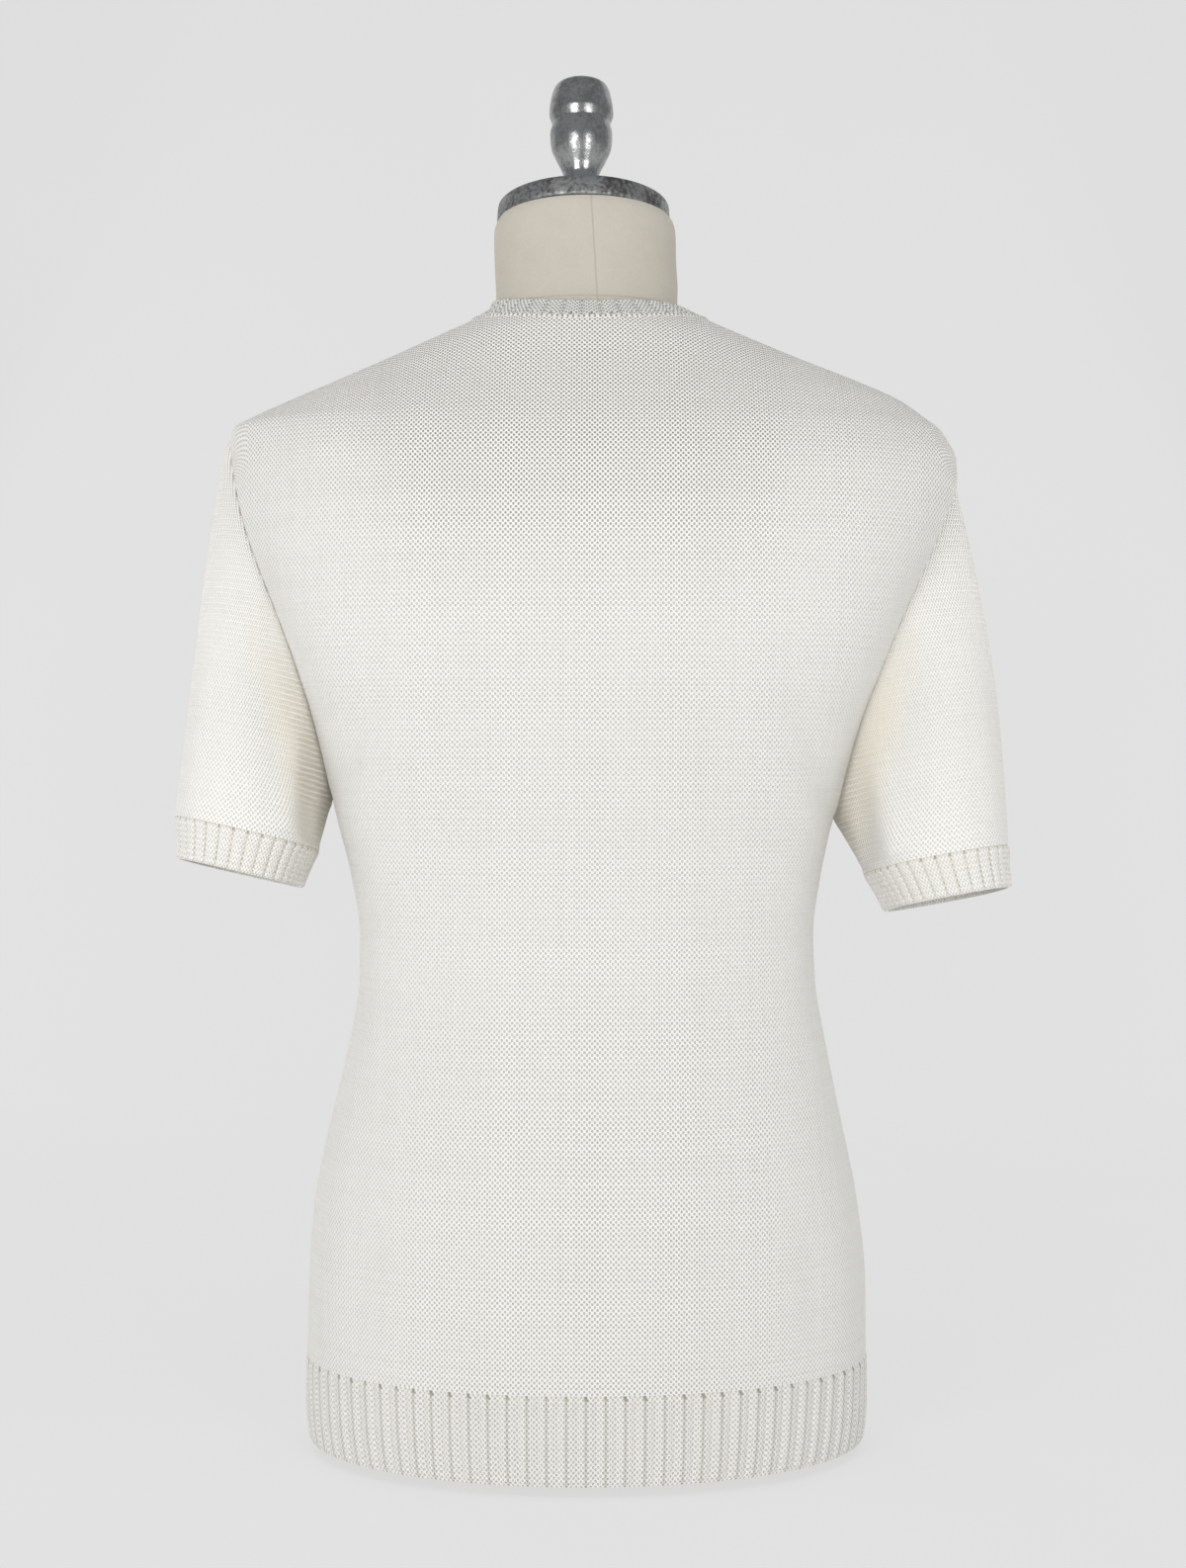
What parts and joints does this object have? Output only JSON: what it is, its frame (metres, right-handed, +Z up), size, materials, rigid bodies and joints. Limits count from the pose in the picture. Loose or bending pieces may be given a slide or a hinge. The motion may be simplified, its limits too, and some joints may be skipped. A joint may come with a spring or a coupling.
{
  "type": "short-sleeved crew-neck knit top on a limbless dress form",
  "caption": "Short-sleeved crew-neck knit top with ribbed hem, cuffs and neckband, worn by a limbless canvas dress form with a metal neck cap and knob.",
  "frame": {"origin": "centre of the dress form's flat underside, on the surface that it stands on", "axes": "+Z up the form to the knob, -Y the wearer's front, +Y the back, +X the wearer's left"},
  "size_m": [0.5134, 0.24, 0.8489],
  "materials": {
    "knit": "matte cream cotton stocking stitch and rib, about 7 stitches to the inch",
    "canvas": "matte natural cotton canvas with a centre back seam",
    "metal": "worn and mottled bright cast metal"
  },
  "bodies": {
    "root": {"back": "knit", "front": "knit", "hem_rib_back": "knit", "hem_rib_front": "knit", "sleeve_left": "knit", "sleeve_right": "knit", "cuff_left": "knit", "cuff_right": "knit", "neckband": "knit", "form_body": "canvas", "neck_cap": "metal", "neck_knob": "metal"}
  },
  "joints": []
}
